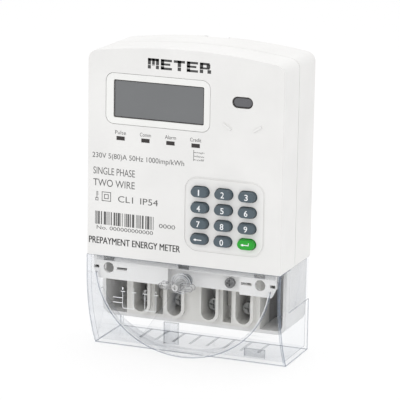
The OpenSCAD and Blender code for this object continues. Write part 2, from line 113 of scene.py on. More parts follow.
# Edges sharper than this get a bead
BEAD_ANGLE = math.radians(24)


def middle(node):
    """The middle of a node's box."""
    low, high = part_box(node)
    return (low + high) / 2


# ---- Modelling helpers ----

def deselect():
    bpy.ops.object.select_all(action="DESELECT")


def make_active(piece):
    deselect()
    piece.select_set(True)
    bpy.context.view_layer.objects.active = piece


def settle(piece, name):
    """Applies place, turn and size, so that the piece's object sits at the origin."""
    make_active(piece)
    bpy.ops.object.transform_apply(location=True, rotation=True, scale=True)
    piece.name = piece.data.name = name
    return piece


def block(name, low, high):
    """A box between two corners, ready to be shaped."""
    deselect()
    low, high = Vector(low), Vector(high)
    bpy.ops.mesh.primitive_cube_add(size=1, location=(low + high) / 2)
    piece = bpy.context.object
    piece.scale = high - low
    return settle(piece, name)


def rod(name, x, z, y0, y1, radius, sides=64):
    """A round bar along Y from depth y0 to depth y1."""
    deselect()
    bpy.ops.mesh.primitive_cylinder_add(
        vertices=sides, radius=radius, depth=y1 - y0,
        location=(x, (y0 + y1) / 2, z), rotation=(math.pi / 2, 0, 0))
    return settle(bpy.context.object, name)


def shape_edges(piece, chosen, operator, **settings):
    """Runs an edit-mode operator on the edges for which chosen(edge) is true."""
    make_active(piece)
    bpy.ops.object.mode_set(mode="EDIT")
    bpy.ops.mesh.select_mode(type="EDGE")
    bpy.ops.mesh.select_all(action="DESELECT")
    mesh = bmesh.from_edit_mesh(piece.data)
    for edge in mesh.edges:
        edge.select_set(chosen(edge))
    bmesh.update_edit_mesh(piece.data)
    operator(**settings)
    bpy.ops.object.mode_set(mode="OBJECT")


def round_edges(piece, chosen, radius, segments=6):
    shape_edges(piece, chosen, bpy.ops.mesh.bevel, offset=radius, segments=segments,
                affect="EDGES", clamp_overlap=True)


def along_y(edge):
    a, b = (v.co for v in edge.verts)
    return (b - a).length > 0 and abs((b - a).normalized().y) > 0.99


def edge_middle(edge):
    a, b = (v.co for v in edge.verts)
    return (a + b) / 2


def at_y(y, edge):
    return all(abs(v.co.y - y) < 0.01 * MM for v in edge.verts)


def modify(piece, kind, **settings):
    """Adds a modifier and applies it."""
    make_active(piece)
    modifier = piece.modifiers.new(kind, kind)
    for setting, value in settings.items():
        setattr(modifier, setting, value)
    bpy.ops.object.modifier_apply(modifier=modifier.name)


def join(pieces, name):
    """Makes several pieces one object."""
    deselect()
    for piece in pieces:
        piece.select_set(True)
    bpy.context.view_layer.objects.active = pieces[0]
    bpy.ops.object.join()
    pieces[0].name = pieces[0].data.name = name
    return pieces[0]


def combine(piece, tools, operation="DIFFERENCE"):
    """Cuts tools out of a piece, adds them or keeps what they share, and removes the tools."""
    for tool in tools:
        modify(piece, "BOOLEAN", object=tool, operation=operation, solver="EXACT")
        bpy.data.objects.remove(tool)
    return piece


def soften(piece, width, segments=2, angle=35):
    """Breaks the sharp edges and shades the rest smooth."""
    modify(piece, "BEVEL", width=width, segments=segments, limit_method="ANGLE",
           angle_limit=math.radians(angle), use_clamp_overlap=True)
    make_active(piece)
    bpy.ops.object.shade_smooth_by_angle(angle=SMOOTH_ANGLE)
    modify(piece, "WEIGHTED_NORMAL", keep_sharp=True)


def rounded_plate(name, x, z, width, height, radius, y0, y1, segments=10):
    """A plate that faces the front, with four round corners."""
    piece = block(name, (x - width / 2, y0, z - height / 2), (x + width / 2, y1, z + height / 2))
    round_edges(piece, along_y, min(radius, height / 2 - 0.005 * MM), segments)
    return piece


def dress(piece, body, slot, material, *replaced):
    """Says what a finished piece rides on, wears and stands for; its slot argument is not used."""
    piece.data.materials.clear()
    piece.data.materials.append(material)
    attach(piece, body)
    if replaced:
        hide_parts(*replaced)
    return piece


# ---- Materials ----

def new_material(name, colour, roughness, metallic=0.0):
    material = bpy.data.materials.new(name)
    material.use_nodes = True
    shader = material.node_tree.nodes["Principled BSDF"]
    shader.inputs["Base Color"].default_value = (*colour, 1)
    shader.inputs["Roughness"].default_value = roughness
    shader.inputs["Metallic"].default_value = metallic
    return material, shader


def noise(material, scale, detail=2.0, stretch=(1, 1, 1)):
    """A noise pattern on the piece's own coordinates."""
    tree = material.node_tree
    place = tree.nodes.new("ShaderNodeTexCoord")
    mapping = tree.nodes.new("ShaderNodeMapping")
    mapping.inputs["Scale"].default_value = stretch
    pattern = tree.nodes.new("ShaderNodeTexNoise")
    pattern.inputs["Scale"].default_value = scale
    pattern.inputs["Detail"].default_value = detail
    tree.links.new(place.outputs["Object"], mapping.inputs["Vector"])
    tree.links.new(mapping.outputs["Vector"], pattern.inputs["Vector"])
    return pattern.outputs["Fac"]


def vary_roughness(material, shader, scale, low, high, stretch=(1, 1, 1)):
    tree = material.node_tree
    spread = tree.nodes.new("ShaderNodeMapRange")
    spread.inputs["From Min"].default_value = 0.3
    spread.inputs["From Max"].default_value = 0.7
    spread.inputs["To Min"].default_value = low
    spread.inputs["To Max"].default_value = high
    tree.links.new(noise(material, scale, 3, stretch), spread.inputs["Value"])
    tree.links.new(spread.outputs["Result"], shader.inputs["Roughness"])


def vary_colour(material, shader, scale, first, second, stretch=(1, 1, 1)):
    tree = material.node_tree
    ramp = tree.nodes.new("ShaderNodeValToRGB")
    ramp.color_ramp.elements[0].position = 0.35
    ramp.color_ramp.elements[0].color = (*first, 1)
    ramp.color_ramp.elements[1].position = 0.65
    ramp.color_ramp.elements[1].color = (*second, 1)
    tree.links.new(noise(material, scale, 3, stretch), ramp.inputs["Fac"])
    tree.links.new(ramp.outputs["Color"], shader.inputs["Base Color"])


def add_grain(material, shader, scale, height, stretch=(1, 1, 1)):
    """A fine moulded or machined texture, height deep in metres."""
    tree = material.node_tree
    bump = tree.nodes.new("ShaderNodeBump")
    bump.inputs["Strength"].default_value = 1.0
    bump.inputs["Distance"].default_value = height
    tree.links.new(noise(material, scale, 2, stretch), bump.inputs["Height"])
    tree.links.new(bump.outputs["Normal"], shader.inputs["Normal"])


def shade_of(colour, factor):
    return tuple(min(1.0, c * factor) for c in colour)


def plastic(name, colour, roughness, grain=2600, depth=0.00001, spread=0.02):
    """Moulded plastic: a fine texture, and a little variation in colour and gloss."""
    material, shader = new_material(name, colour, roughness)
    vary_colour(material, shader, 35, shade_of(colour, 1 - spread), shade_of(colour, 1 + spread))
    vary_roughness(material, shader, 60, roughness - 0.04, roughness + 0.04)
    add_grain(material, shader, grain, depth)
    return material


def metal(name, colour, roughness, stretch=(1, 1, 1)):
    """Machined or plated metal, with fine marks along the short stretch."""
    material, shader = new_material(name, colour, roughness, metallic=1.0)
    vary_colour(material, shader, 400, shade_of(colour, 0.92), shade_of(colour, 1.06), stretch)
    vary_roughness(material, shader, 900, roughness - 0.06, roughness + 0.1, stretch)
    add_grain(material, shader, 1800, 0.000006, stretch)
    return material


def clear_plastic(name, tint, gloss, face_on, edge_on, blend=0.1):
    """Thin clear polycarbonate: see-through face on, milky and glossy where it turns away."""
    material, shader = new_material(name, tint, gloss)
    tree = material.node_tree
    output = tree.nodes["Material Output"]
    facing = tree.nodes.new("ShaderNodeLayerWeight")
    facing.inputs["Blend"].default_value = blend
    amount = tree.nodes.new("ShaderNodeMapRange")
    amount.inputs["To Min"].default_value = face_on
    amount.inputs["To Max"].default_value = edge_on
    through = tree.nodes.new("ShaderNodeBsdfTransparent")
    through.inputs["Color"].default_value = (0.992, 0.994, 0.997, 1)
    mix = tree.nodes.new("ShaderNodeMixShader")
    tree.links.new(facing.outputs["Facing"], amount.inputs["Value"])
    tree.links.new(amount.outputs["Result"], mix.inputs["Fac"])
    tree.links.new(through.outputs["BSDF"], mix.inputs[1])
    tree.links.new(shader.outputs["BSDF"], mix.inputs[2])
    tree.links.new(mix.outputs["Shader"], output.inputs["Surface"])
    vary_colour(material, shader, 30, shade_of(tint, 0.96), shade_of(tint, 1.04))
    vary_roughness(material, shader, 40, gloss, gloss + 0.05)
    add_grain(material, shader, 500, 0.000004)
    return material


case_white = plastic("case_white", (0.765, 0.76, 0.75), 0.42, depth=0.000012)
base_white = plastic("base_white", (0.76, 0.755, 0.745), 0.45, depth=0.000012)
bezel_white = plastic("bezel_white", (0.80, 0.80, 0.785), 0.3, depth=0.000002)
hanger_white = plastic("hanger_white", (0.74, 0.74, 0.72), 0.5)
block_white = plastic("block_white", (0.72, 0.71, 0.68), 0.5, grain=1800, depth=0.00002)
# Painted shade: the terminal block and the cups in the end slots wear this dark grey for the shade
# in the wells and slots.
painted_shade_grey = plastic("painted_shade_grey", (0.36, 0.35, 0.34), 0.55, grain=1800, depth=0.00002)
gasket_grey = plastic("gasket_grey", (0.72, 0.72, 0.71), 0.7)
key_slate = plastic("key_slate", (0.068, 0.095, 0.115), 0.4, depth=0.000008)
key_green = plastic("key_green", (0.004, 0.33, 0.012), 0.38, depth=0.000008)
mat_grey = plastic("mat_grey", (0.5, 0.52, 0.55), 0.6)
legend_white = plastic("legend_white", (0.86, 0.87, 0.88), 0.5, depth=0.000002)
title_grey = plastic("title_grey", (0.05, 0.05, 0.05), 0.5, depth=0.000002)
print_grey = plastic("print_grey", (0.09, 0.09, 0.09), 0.5, depth=0.000002)
window_grey = plastic("window_grey", (0.15, 0.155, 0.16), 0.16, depth=0.000001)
port_grey = plastic("port_grey", (0.11, 0.11, 0.12), 0.25, depth=0.000001)
# Black for the indicator windows, and painted shade on the window's border and the port's rim.
black_and_painted_shade = plastic("black_and_painted_shade", (0.02, 0.015, 0.014), 0.25, depth=0.000001)
board_green = plastic("board_green", (0.02, 0.16, 0.07), 0.35)
black_plastic = plastic("black_plastic", (0.025, 0.025, 0.025), 0.5)
battery_green = plastic("battery_green", (0.04, 0.22, 0.1), 0.4)
sleeve_blue = plastic("sleeve_blue", (0.03, 0.09, 0.35), 0.4)
film_yellow = plastic("film_yellow", (0.6, 0.42, 0.06), 0.45)
led_red = plastic("led_red", (0.45, 0.03, 0.02), 0.2)
frame_white = plastic("frame_white", (0.82, 0.82, 0.82), 0.5)
brass = metal("brass", (0.72, 0.55, 0.28), 0.3, (1, 0.2, 1))
copper = metal("copper", (0.78, 0.45, 0.3), 0.32, (1, 1, 0.2))
zinc = metal("zinc", (0.6, 0.6, 0.6), 0.3, (1, 0.2, 1))
black_steel = metal("black_steel", (0.2, 0.2, 0.2), 0.42, (1, 0.2, 1))
plated = metal("plated_brass", (0.36, 0.35, 0.33), 0.5, (1, 0.2, 1))
dull_zinc = metal("dull_zinc", (0.34, 0.34, 0.335), 0.5, (1, 0.2, 1))
cover_clear = clear_plastic("cover_clear", (0.56, 0.60, 0.67), 0.06, 0.0, 0.38)
# Painted shade: dark lines along the cover's outer edges and its panel's rim, standing in for the
# light that the clear edges bend.
painted_edge_shade = clear_plastic("painted_edge_shade", (0.27, 0.32, 0.41), 0.12, 0.3, 0.9)
band_grey = clear_plastic("band_grey", (0.42, 0.42, 0.43), 0.1, 0.13, 0.6)
flap_grey = clear_plastic("flap_grey", (0.5, 0.52, 0.56), 0.1, 0.14, 0.6)
# Painted shade too: the dark lines along the cover's grooves, the wings' edges and the cover's
# inner edges.
painted_groove_edge_shade = clear_plastic("painted_groove_edge_shade", (0.5, 0.55, 0.6), 0.12, 0.15, 0.8)
painted_wing_edge_shade = clear_plastic("painted_wing_edge_shade", (0.30, 0.30, 0.31), 0.12, 0.5, 0.95)
painted_fine_edge_shade = clear_plastic("painted_fine_edge_shade", (0.40, 0.44, 0.50), 0.12, 0.3, 0.9)
# Painted highlights: the white beads just inside the panel's rim and round the seal boss's ring.
glint_white = clear_plastic("glint_white", (0.93, 0.94, 0.96), 0.1, 0.6, 0.95)
# Painted reflection: bluish bands down the cover's front corners.
painted_corner_reflection = clear_plastic("painted_corner_reflection", (0.42, 0.49, 0.62), 0.1, 0.06, 0.5)
seal_clear = clear_plastic("seal_clear", (0.74, 0.74, 0.74), 0.08, 0.12, 0.8)


# ---- Pieces made from the frame's own solids ----

def softened_copy(node, name, width, segments=2, angle=35):
    """A copy of a node's solid with its facets merged and its sharp edges broken."""
    source = frame["nodes"][node]
    piece = source.copy()
    piece.data = source.data.copy()
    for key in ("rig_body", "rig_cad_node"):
        if key in piece:
            del piece[key]
    piece.parent = None
    bpy.context.scene.collection.objects.link(piece)
    piece.name = piece.data.name = name
    make_active(piece)
    bpy.ops.object.mode_set(mode="EDIT")
    bpy.ops.mesh.select_all(action="SELECT")
    bpy.ops.mesh.remove_doubles(threshold=0.001 * MM)
    bpy.ops.mesh.dissolve_limited(angle_limit=MERGE_ANGLE)
    bpy.ops.object.mode_set(mode="OBJECT")
    if width:
        soften(piece, width, segments, angle)
    return piece


def soften_node(node, slot, material, width, segments=2):
    body = next(b for b, nodes in frame["record"]["behaviour"]["bodies"].items() if node in nodes)
    piece = softened_copy(node, node + "_skin", width, segments)
    return dress(piece, body, slot, material, node)


def outer_front(edge):
    """True for the long outer edge of the face, round the arch and down both sides."""
    a, b = (v.co for v in edge.verts)
    mid = edge_middle(edge)
    return (at_y(FACE_Y, edge) and (abs(mid.x) > HALF_W - 7 * MM or mid.z > CROWN_Z - 14 * MM)
            and abs((b - a).normalized().y) < 0.1 and mid.z > FACE_Z + 0.5 * MM)


def front_shell():
    """The front case, with the broad soft edge round its face."""
    piece = softened_copy("front_case", "front_shell", 0)
    round_edges(piece, outer_front, 2.6 * MM, 6)
    soften(piece, 0.35 * MM, 2)
    return dress(piece, "meter", "case_white", case_white, "front_case")


def key_cap(name, material, slot):
    """A rubbery key with a broad rounded edge."""
    piece = softened_copy("key_" + name, "key_cap_" + name, 0)
    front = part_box("key_" + name)[0].y
    shape_edges(piece, lambda edge: at_y(front, edge), bpy.ops.transform.resize,
                value=(0.95, 1, 0.93), center_override=middle("key_" + name))
    round_edges(piece, lambda edge: at_y(front, edge), 0.6 * MM, 4)
    make_active(piece)
    bpy.ops.object.shade_smooth_by_angle(angle=SMOOTH_ANGLE)
    return dress(piece, "key_" + name, slot, material, "key_" + name)


def clear_moulding(node, name, body, material):
    """A clear moulding made from the frame's own solid."""
    piece = softened_copy(node, name, 0)
    make_active(piece)
    bpy.ops.object.shade_smooth_by_angle(angle=math.radians(25))
    dress(piece, body, "clear_cover", material, node)


def edge_beads(node, name, body, material, radius, chosen,
               about=(0, 0, 0), size=(1, 1, 1), move=(0, 0, 0)):
    """Fine round beads along the chosen sharp edges of a clear moulding, which wear painted edge
    shade and painted highlights.
    """
    beads = softened_copy(node, name, 0)
    shape_edges(beads, lambda edge: edge.calc_face_angle(0) < BEAD_ANGLE or not chosen(edge),
                bpy.ops.mesh.delete, type="EDGE")
    make_active(beads)
    bpy.ops.object.mode_set(mode="EDIT")
    bpy.ops.mesh.select_all(action="SELECT")
    bpy.ops.mesh.delete(type="ONLY_FACE")
    bpy.ops.object.mode_set(mode="OBJECT")
    beads.scale = size
    beads.location = [about[i] * (1 - size[i]) + move[i] for i in range(3)]
    bpy.ops.object.transform_apply(location=True, rotation=True, scale=True)
    bpy.ops.object.convert(target="CURVE")
    beads = bpy.context.object
    beads.data.bevel_depth = radius
    beads.data.bevel_resolution = 1
    bpy.ops.object.convert(target="MESH")
    beads = bpy.context.object
    make_active(beads)
    bpy.ops.object.shade_smooth()
    beads.name = beads.data.name = name
    dress(beads, body, "clear_cover", material)


# The upright flaps on the cover's lower wall, in millimetres: the sides, the depth, the height
COVER_FLAPS = (("middle", -19.2, -10.1, 20, 14.5), ("right", 33, 45.5, 16.5, 6))
PANEL_HALF = 54.5 * MM
PANEL_DROP = 50.5 * MM
PANEL_Z = FACE_Z - 5 * MM


def panel_share(edge):
    """How far out an edge lies on the cover's half-round panel, where 1 is the panel's rim."""
    mid = edge_middle(edge)
    return (mid.x / PANEL_HALF) ** 2 + ((mid.z - PANEL_Z) / PANEL_DROP) ** 2


def panel_rim(edge):
    return (at_y(FACE_Y, edge) and 0.975 < panel_share(edge) < 1.02
            and edge_middle(edge).z < PANEL_Z + MM)


def relief_edge(edge):
    """True for the edges of the shallow relief on the cover's two sides."""
    mid = edge_middle(edge)
    inside = mid.y > FACE_Y + 16.8 * MM and mid.z > FACE_Z - 26.2 * MM
    return abs(mid.x) > HALF_W - 0.6 * MM and inside and mid.z < COVER_HIGH.z - 0.2 * MM


def outer_edge(edge):
    """True for the cover's outer corners, down its sides and round its foot."""
    mid = edge_middle(edge)
    outside = abs(mid.x) > HALF_W - 0.05 * MM or mid.z < COVER_LOW.z + 0.05 * MM
    return outside and not panel_rim(edge) and not relief_edge(edge)


def front_corner(edge):
    """True for the upright corners between the cover's face and its sides."""
    mid = edge_middle(edge)
    rise = abs(edge.verts[0].co.z - edge.verts[1].co.z)
    return (outer_edge(edge) and abs(mid.x) > HALF_W - 0.05 * MM
            and mid.y < FACE_Y + 16 * MM and rise > 0.3 * MM)


def fine_edge(edge):
    """True for the cover's inner edges that no other bead follows."""
    mid = edge_middle(edge)
    on_panel = 0.9 < panel_share(edge) < 1.02 and mid.z < PANEL_Z + MM and mid.y < FACE_Y + 14 * MM
    relief = relief_edge(edge) and mid.z > FACE_Z - 25.8 * MM
    groove = mid.z < COVER_LOW.z + 2 * MM and abs(mid.x) < 42 * MM and mid.y > FACE_Y + 16 * MM
    return not (outer_edge(edge) or on_panel or relief or groove or mid.y < FACE_Y - 0.1 * MM)


def groove_edge(edge):
    """True for the break-out grooves in the cover's lower wall."""
    mid = edge_middle(edge)
    run = abs(edge.verts[0].co.x - edge.verts[1].co.x)
    return (abs(mid.z - COVER_LOW.z - 1.4 * MM) < 0.1 * MM and abs(mid.x) < 42 * MM
            and mid.y > FACE_Y + 16 * MM and run < 0.1 * MM)


def seal_ring(edge):
    return edge_middle(edge).y < FACE_Y - 1.5 * MM


def wing_edge(edge):
    """True for the edges of the seal screw's wings, between their front and their collar."""
    return WINGS_LOW.y + 0.1 * MM < edge_middle(edge).y < WINGS_LOW.y + 6 * MM


def cover_beads(name, material, radius, chosen, **placing):
    edge_beads("terminal_cover", name, "cover", material, radius, chosen, **placing)


def cover_mouldings():
    """The clear cover, beads of painted shade, painted highlights and painted reflections along its
    edges, its plates, and the seal screw's wings.
    """
    # Dark beads along the edges are painted shade.
    cover_beads("cover_outer_edges", painted_edge_shade, 0.3 * MM, outer_edge)
    cover_beads("cover_fine_edges", painted_fine_edge_shade, 0.14 * MM, fine_edge)
    cover_beads("cover_groove_edges", painted_groove_edge_shade, 0.22 * MM, groove_edge)
    cover_beads("cover_panel_rim", painted_edge_shade, 0.32 * MM, panel_rim)
    # Painted highlight just inside the panel's rim.
    cover_beads("cover_panel_glint", glint_white, 0.3 * MM, panel_rim,
                about=(0, 0, PANEL_Z), size=(0.984, 1, 0.984))
    # Painted reflection bands down the cover's front corners.
    cover_beads("cover_corner_reflections", painted_corner_reflection, 0.95 * MM, front_corner,
                size=(1 - 0.9 * MM / HALF_W, 1, 1), move=(0, 0.9 * MM, 0))
    # Painted highlights round the seal boss's ring.
    cover_beads("cover_ring_highlights", glint_white, 0.25 * MM, seal_ring)
    clear_moulding("terminal_cover", "clear_cover_shell", "cover", cover_clear)
    band = block("cover_top_band", (-54 * MM, FACE_Y + 0.4 * MM, COVER_HIGH.z - 2.8 * MM),
                 (HALF_W - 3 * MM, FACE_Y + 0.6 * MM, COVER_HIGH.z - 0.1 * MM))
    round_edges(band, along_y, 0.4 * MM, 4)
    dress(band, "cover", "clear_cover", band_grey)
    low_z = COVER_LOW.z + 1.9 * MM
    for name, x0, x1, y, tall in COVER_FLAPS:
        flap = block("cover_flap_" + name, (x0 * MM + 0.2 * MM, FACE_Y + y * MM - 0.15 * MM, low_z),
                     (x1 * MM - 0.2 * MM, FACE_Y + y * MM, low_z + (tall - 1.6) * MM))
        round_edges(flap, along_y, 0.5 * MM, 4)
        dress(flap, "cover", "clear_cover", flap_grey)
    # Painted shade along the edges of the seal screw's wings.
    edge_beads("seal_wings", "seal_wing_edges", "seal_screw", painted_wing_edge_shade, 0.2 * MM, wing_edge)
    clear_moulding("seal_wings", "seal_wing_nut", "seal_screw", seal_clear)


def display():
    """The bezel with its round-cornered opening, a black border as painted shadow round the
    recessed window, and the grey window behind it.
    """
    x, z = middle("display_bezel").x, middle("display_bezel").z
    wide, high = BEZEL_HIGH.x - BEZEL_LOW.x, BEZEL_HIGH.z - BEZEL_LOW.z
    pane_x, pane_z = middle("display_window").x, middle("display_window").z
    bezel = rounded_plate("bezel_frame", x, z, wide, high, 4.8 * MM, FACE_Y, BEZEL_HIGH.y)
    opening = rounded_plate("opening", pane_x, pane_z, PANE_W, PANE_H, 0.9 * MM,
                            FACE_Y - MM, BEZEL_HIGH.y + MM)
    combine(bezel, [opening])
    soften(bezel, 0.3 * MM, 3)
    dress(bezel, "meter", "bezel_white", bezel_white, "display_bezel")
    # Painted shadow: a black ring round the recessed window's edge.
    border = rounded_plate("window_shadow_border", pane_x, pane_z, PANE_W - 0.1 * MM, PANE_H - 0.1 * MM,
                           0.9 * MM, FACE_Y + 0.75 * MM, BEZEL_HIGH.y)
    inside = rounded_plate("inside", pane_x, pane_z, PANE_W - 1.1 * MM, PANE_H - 1.1 * MM,
                           0.7 * MM, FACE_Y, BEZEL_HIGH.y + MM)
    combine(border, [inside])
    soften(border, 0.1 * MM, 2)
    dress(border, "meter", "window_grey", black_and_painted_shade)
    pane = rounded_plate("window_pane", pane_x, pane_z, PANE_W - 1.1 * MM, PANE_H - 1.1 * MM,
                         0.7 * MM, FACE_Y + 0.8 * MM, BEZEL_HIGH.y)
    back = block("pane_back", (WINDOW_LOW.x, BEZEL_HIGH.y, WINDOW_LOW.z), WINDOW_HIGH)
    soften(pane, 0.12 * MM, 2)
    dress(join([pane, back], "window_pane"), "meter", "window_grey", window_grey, "display_window")


def port_lens():
    """The port's dark lens, set a little way into its opening, inside a black rim that is painted
    shade on the opening's wall.
    """
    x, z = middle("optical_port_lens").x, middle("optical_port_lens").z
    # Painted shade: the rim that lines the port's opening is black.
    rim = rounded_plate("port_rim", x, z, PORT_W, PORT_H, PORT_H / 2,
                        FACE_Y + 0.5 * MM, PORT_HIGH.y - 2 * MM, 16)
    inner = (PORT_W - 1.2 * MM, PORT_H - 1.2 * MM, PORT_H / 2 - 0.6 * MM)
    hollow = rounded_plate("hollow", x, z, *inner, FACE_Y, FACE_Y + 1.2 * MM, 16)
    combine(rim, [hollow])
    soften(rim, 0.12 * MM, 2)
    flange = rounded_plate("port_flange", x, z, PORT_W + 2.2 * MM, PORT_H + 2.2 * MM,
                           PORT_H / 2 + 1.1 * MM, PORT_HIGH.y - 2 * MM, PORT_HIGH.y, 16)
    join([rim, flange], "port_rim")
    dress(rim, "meter", "port_lens", black_and_painted_shade, "optical_port_lens")
    lens = rounded_plate("port_glass", x, z, *inner, FACE_Y + 0.7 * MM, FACE_Y + 1.3 * MM, 16)
    round_edges(lens, lambda edge: at_y(FACE_Y + 0.7 * MM, edge), 0.3 * MM, 4)
    dress(lens, "meter", "port_lens", port_grey)


def slot_pockets():
    """Dark shallow cups behind the small slots at the skirt's two ends: painted shade inside the
    slots.
    """
    for name, side in (("left", -1), ("right", 1)):
        x = side * END_SLOT_X
        y0 = SKIRT_LOW.y + 2.2 * MM
        cup = block("slot_cup_" + name, (x - 1.6 * MM, y0, -2 * MM),
                    (x + 1.6 * MM, y0 + 3 * MM, 2 * MM))
        hollow = block("hollow", (x - 1.3 * MM, y0 - MM, -1.6 * MM),
                       (x + 1.3 * MM, y0 + 2.6 * MM, 1.6 * MM))
        combine(cup, [hollow])
        soften(cup, 0.15 * MM, 2)
        dress(cup, "meter", "case_white", painted_shade_grey)


front_shell()
cover_mouldings()
soften_node("base_case", "case_white", base_white, 0.5 * MM)
soften_node("case_skirt", "case_white", case_white, 0.3 * MM)
display()
port_lens()
slot_pockets()
# The terminal block's dark grey is painted shade in the wells.
soften_node("terminal_block", "block_grey", painted_shade_grey, 0.3 * MM)
soften_node("terminal_shroud", "block_grey", block_white, 0.45 * MM, 3)
soften_node("hanger_plate", "hanger_white", hanger_white, 0.3 * MM)
soften_node("case_screw", "dark_steel", black_steel, 0.4 * MM, 3)
for k in KEY_NAMES:
    if k == "enter":
        key_cap(k, key_green, "key_green")
    else:
        key_cap(k, key_slate, "key_slate")


def wear(node, material):
    """Gives a node of the frame its material."""
    mesh = frame["nodes"][node].data
    mesh.materials.clear()
    mesh.materials.append(material)


WORN = {
    gasket_grey: ["case_gasket"],
    window_grey: ["display_window", "lcd_glass"],
    port_grey: ["ir_pair"],
    black_and_painted_shade: ["light_pipes"],
    brass: ["screw_insert"],
    plated: ["aux_terminals", "terminal_1", "terminal_2", "terminal_3", "terminal_4"],
    dull_zinc: [f"clamp_screw_{t}{j}" for t in "1234" for j in "ab"],
    zinc: ["board_screws"],
    board_green: ["main_board"],
    frame_white: ["lcd_frame"],
    led_red: ["board_leds"],
    black_plastic: ["buzzer", "relay", "metering_chips"],
    battery_green: ["battery"],
    sleeve_blue: ["supercapacitor", "varistor"],
    film_yellow: ["film_capacitor"],
    copper: ["line_in_busbar", "line_out_busbar", "neutral_busbar"],
    mat_grey: ["key_mat"],
}
for material, nodes in WORN.items():
    for node in nodes:
        wear(node, material)


# ---- Seal screw ----

def seal_bolt():
    """The seal screw, with a cross recess in its end."""
    low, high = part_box("seal_screw")
    x, z = (low.x + high.x) / 2, (low.z + high.z) / 2
    bolt = rod("seal_bolt", x, z, low.y, high.y, (high.x - low.x) / 2, 48)
    slots = []
    for wide, tall in ((2.6, 0.7), (0.7, 2.6)):
        slots.append(block("slot", (x - wide / 2 * MM, low.y - MM, z - tall / 2 * MM),
                           (x + wide / 2 * MM, low.y + 1.2 * MM, z + tall / 2 * MM)))
    combine(bolt, slots)
    soften(bolt, 0.15 * MM, 2)
    return dress(bolt, "seal_screw", "screw_steel", zinc, "seal_screw")


seal_bolt()


# ---- Print ----

def fitted_word(words, x0, x1, z0, z1, front, weight=0.0):
    """A line of plain printed words that fills a box on a face that looks to the front."""
    deselect()
    bpy.ops.object.text_add()
    piece = bpy.context.object
    piece.data.body = words
    piece.data.size = 0.01
    piece.data.offset = weight * 0.01
    piece.data.extrude = 0.0004
    bpy.ops.object.convert(target="MESH")
    piece = bpy.context.object
    piece.rotation_euler = (math.pi / 2, 0, 0)
    make_active(piece)
    bpy.ops.object.transform_apply(location=True, rotation=True, scale=True)
    points = [v.co for v in piece.data.vertices]
    low = Vector(min(p[i] for p in points) for i in range(3))
    high = Vector(max(p[i] for p in points) for i in range(3))
    across, up = (x1 - x0) / (high.x - low.x), (z1 - z0) / (high.z - low.z)
    thin = (INK + SINK) / (high.y - low.y)
    piece.scale = (across, thin, up)
    piece.location = (x0 - low.x * across, front - high.y * thin + SINK, z0 - low.z * up)
    return settle(piece, "word")


def bar(x0, x1, z0, z1, front):
    """A printed stroke."""
    return block("bar", (x0, front - INK, z0), (x1, front + SINK, z1))


# On the face, places are in millimetres, and heights are from the skirt's top

def face_word(words, x0, x1, z0, z1, weight=0.0):
    return fitted_word(words, x0 * MM, x1 * MM, FACE_Z + z0 * MM, FACE_Z + z1 * MM, FACE_Y, weight)


def face_bar(x0, x1, z0, z1):
    return bar(x0 * MM, x1 * MM, FACE_Z + z0 * MM, FACE_Z + z1 * MM, FACE_Y)


def square_outline(x0, x1, z0, z1, line):
    return [face_bar(x0, x1, z0, z0 + line), face_bar(x0, x1, z1 - line, z1),
            face_bar(x0, x0 + line, z0, z1), face_bar(x1 - line, x1, z0, z1)]


# Each block letter's strokes, on a field one unit wide and one high: x0, x1, z0, z1
BLOCK_LETTERS = {
    "M": [(0, 0.27, 0, 1), (0.73, 1, 0, 1), (0, 1, 0.76, 1), (0.38, 0.62, 0.3, 1)],
    "E": [(0, 0.3, 0, 1), (0, 1, 0, 0.22), (0, 0.85, 0.42, 0.62), (0, 1, 0.78, 1)],
    "T": [(0.35, 0.65, 0, 1), (0, 1, 0.76, 1)],
    "R": [(0, 0.3, 0, 1), (0, 0.86, 0.78, 1), (0, 0.86, 0.38, 0.56), (0.6, 0.92, 0.5, 0.88),
          (0.68, 1, 0, 0.38)],
}


def title_letters(word, x0, x1, z0, z1):
    """A word in block letters, crossed low down by one fine gap."""
    gap = 1.1
    wide = (x1 - x0 + gap) / len(word) - gap
    cut, fine = z0 + 0.36 * (z1 - z0), 0.14
    strokes = []
    for i, letter in enumerate(word):
        start = x0 + i * (wide + gap)
        for a, b, low, high in BLOCK_LETTERS[letter]:
            low, high = z0 + low * (z1 - z0), z0 + high * (z1 - z0)
            left, right = start + a * wide, start + b * wide
            if low < cut - fine:
                strokes.append(face_bar(left, right, low, min(high, cut - fine)))
            if high > cut + fine:
                strokes.append(face_bar(left, right, max(low, cut + fine), high))
    return strokes


